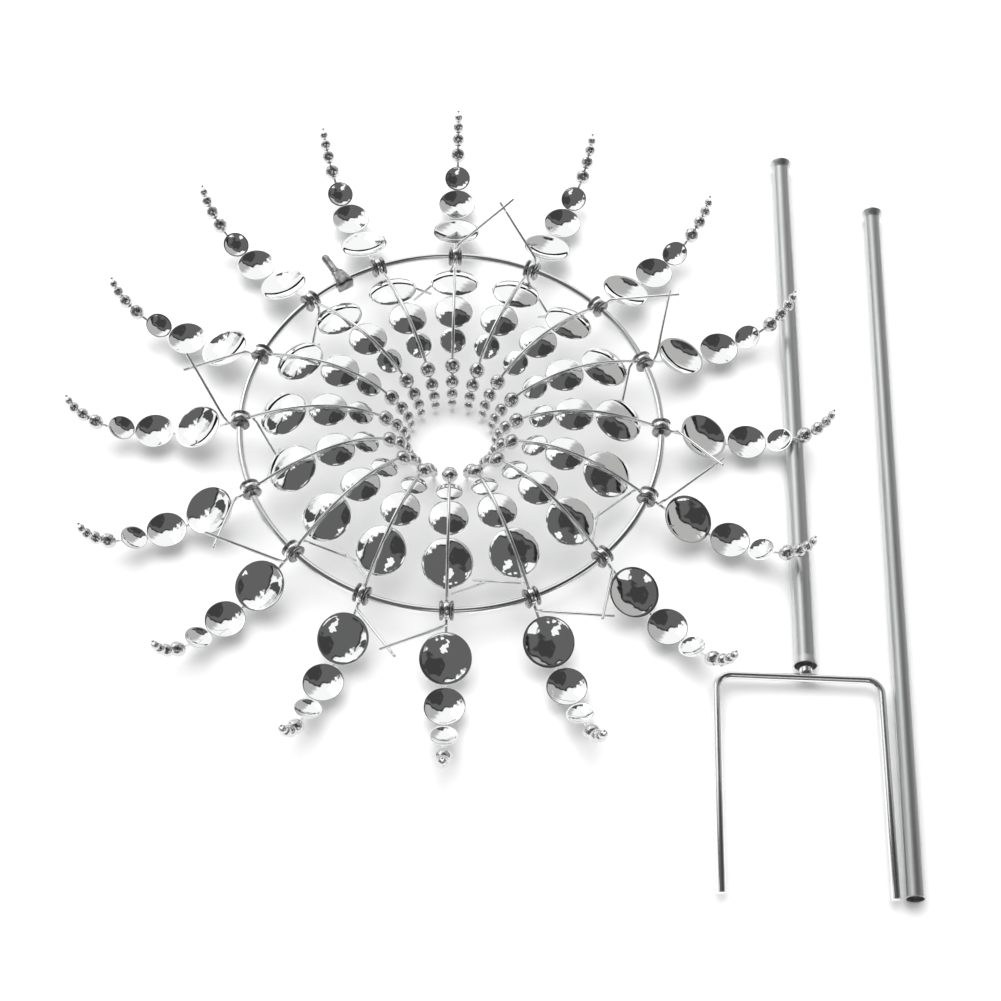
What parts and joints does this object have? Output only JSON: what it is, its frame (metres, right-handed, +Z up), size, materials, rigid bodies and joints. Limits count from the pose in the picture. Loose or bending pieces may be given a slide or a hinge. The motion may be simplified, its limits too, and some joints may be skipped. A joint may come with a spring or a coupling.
{
  "type": "kinetic wind sculpture",
  "caption": "Kinetic garden wind sculpture laid out in pieces: a hoop carrying a ring of curved mirror-dished arms that turn on hubs, a two-part tube pole, and a forked ground stake.",
  "frame": {"origin": "middle of the laid-out pieces' footprint, on the ground they lie on", "axes": "+Z up from the ground, +Y along the poles away from the fork's prongs, +X from the head towards the poles"},
  "size_m": [0.3208, 0.3266, 0.03],
  "materials": {
    "mirror_steel": "mirror polish",
    "bright_wire": "bright drawn wire",
    "dark_steel": "polished, in shade",
    "satin_tube": "satin"
  },
  "bodies": {
    "lower_pole": {"lower_pole": "satin_tube", "fork": "bright_wire", "fork_stem": "bright_wire", "stem_sleeve": "dark_steel"},
    "head": {"hoop": "bright_wire", "stub_block": "dark_steel", "stub_pin": "dark_steel"},
    "upper_pole": {"upper_pole": "satin_tube"},
    "arm_01": {"arm_01": "mirror_steel", "bush_01": "dark_steel"},
    "arm_02": {"arm_02": "mirror_steel", "bush_02": "dark_steel"},
    "arm_03": {"arm_03": "mirror_steel", "bush_03": "dark_steel"},
    "arm_04": {"arm_04": "mirror_steel", "bush_04": "dark_steel"},
    "arm_05": {"arm_05": "mirror_steel", "bush_05": "dark_steel"},
    "arm_06": {"arm_06": "mirror_steel", "bush_06": "dark_steel"},
    "arm_07": {"arm_07": "mirror_steel", "bush_07": "dark_steel"},
    "arm_08": {"arm_08": "mirror_steel", "bush_08": "dark_steel"},
    "arm_09": {"arm_09": "mirror_steel", "bush_09": "dark_steel"},
    "arm_10": {"arm_10": "mirror_steel", "bush_10": "dark_steel"},
    "arm_11": {"arm_11": "mirror_steel", "bush_11": "dark_steel"},
    "arm_12": {"arm_12": "mirror_steel", "bush_12": "dark_steel"},
    "arm_13": {"arm_13": "mirror_steel", "bush_13": "dark_steel"},
    "arm_14": {"arm_14": "mirror_steel", "bush_14": "dark_steel"},
    "arm_15": {"arm_15": "mirror_steel", "bush_15": "dark_steel"},
    "arm_16": {"arm_16": "mirror_steel", "bush_16": "dark_steel"}
  },
  "joints": [
    {"name": "head_lift", "type": "slide", "parent": "lower_pole", "child": "head", "axis": [0, 0, 1], "range_m": [0, 0.15]},
    {"name": "upper_pole_lift", "type": "slide", "parent": "lower_pole", "child": "upper_pole", "axis": [0, 0, 1], "range_m": [0, 0.15]},
    {"name": "arm_01_spin", "type": "hinge", "parent": "head", "child": "arm_01", "pos_m": [-0.01623, 0.09913, 0.01501], "axis": [1, 0, 0], "continuous": true},
    {"name": "arm_02_spin", "type": "hinge", "parent": "head", "child": "arm_02", "pos_m": [0.01439, 0.09304, 0.01501], "axis": [0.9239, -0.3827, 0], "continuous": true},
    {"name": "arm_03_spin", "type": "hinge", "parent": "head", "child": "arm_03", "pos_m": [0.04034, 0.0757, 0.01501], "axis": [0.7071, -0.7071, 0], "continuous": true},
    {"name": "arm_04_spin", "type": "hinge", "parent": "head", "child": "arm_04", "pos_m": [0.05768, 0.04974, 0.01501], "axis": [0.3827, -0.9239, 0], "continuous": true},
    {"name": "arm_05_spin", "type": "hinge", "parent": "head", "child": "arm_05", "pos_m": [0.06377, 0.01913, 0.01501], "axis": [0, -1, 0], "continuous": true},
    {"name": "arm_06_spin", "type": "hinge", "parent": "head", "child": "arm_06", "pos_m": [0.05768, -0.01149, 0.01501], "axis": [-0.3827, -0.9239, 0], "continuous": true},
    {"name": "arm_07_spin", "type": "hinge", "parent": "head", "child": "arm_07", "pos_m": [0.04034, -0.03744, 0.01501], "axis": [-0.7071, -0.7071, 0], "continuous": true},
    {"name": "arm_08_spin", "type": "hinge", "parent": "head", "child": "arm_08", "pos_m": [0.01439, -0.05478, 0.01501], "axis": [-0.9239, -0.3827, 0], "continuous": true},
    {"name": "arm_09_spin", "type": "hinge", "parent": "head", "child": "arm_09", "pos_m": [-0.01623, -0.06087, 0.01501], "axis": [-1, 0, 0], "continuous": true},
    {"name": "arm_10_spin", "type": "hinge", "parent": "head", "child": "arm_10", "pos_m": [-0.04684, -0.05478, 0.01501], "axis": [-0.9239, 0.3827, 0], "continuous": true},
    {"name": "arm_11_spin", "type": "hinge", "parent": "head", "child": "arm_11", "pos_m": [-0.0728, -0.03744, 0.01501], "axis": [-0.7071, 0.7071, 0], "continuous": true},
    {"name": "arm_12_spin", "type": "hinge", "parent": "head", "child": "arm_12", "pos_m": [-0.09014, -0.01149, 0.01501], "axis": [-0.3827, 0.9239, 0], "continuous": true},
    {"name": "arm_13_spin", "type": "hinge", "parent": "head", "child": "arm_13", "pos_m": [-0.09623, 0.01913, 0.01501], "axis": [0, 1, 0], "continuous": true},
    {"name": "arm_14_spin", "type": "hinge", "parent": "head", "child": "arm_14", "pos_m": [-0.09014, 0.04974, 0.01501], "axis": [0.3827, 0.9239, 0], "continuous": true},
    {"name": "arm_15_spin", "type": "hinge", "parent": "head", "child": "arm_15", "pos_m": [-0.0728, 0.0757, 0.01501], "axis": [0.7071, 0.7071, 0], "continuous": true},
    {"name": "arm_16_spin", "type": "hinge", "parent": "head", "child": "arm_16", "pos_m": [-0.04684, 0.09304, 0.01501], "axis": [0.9239, 0.3827, 0], "continuous": true}
  ]
}
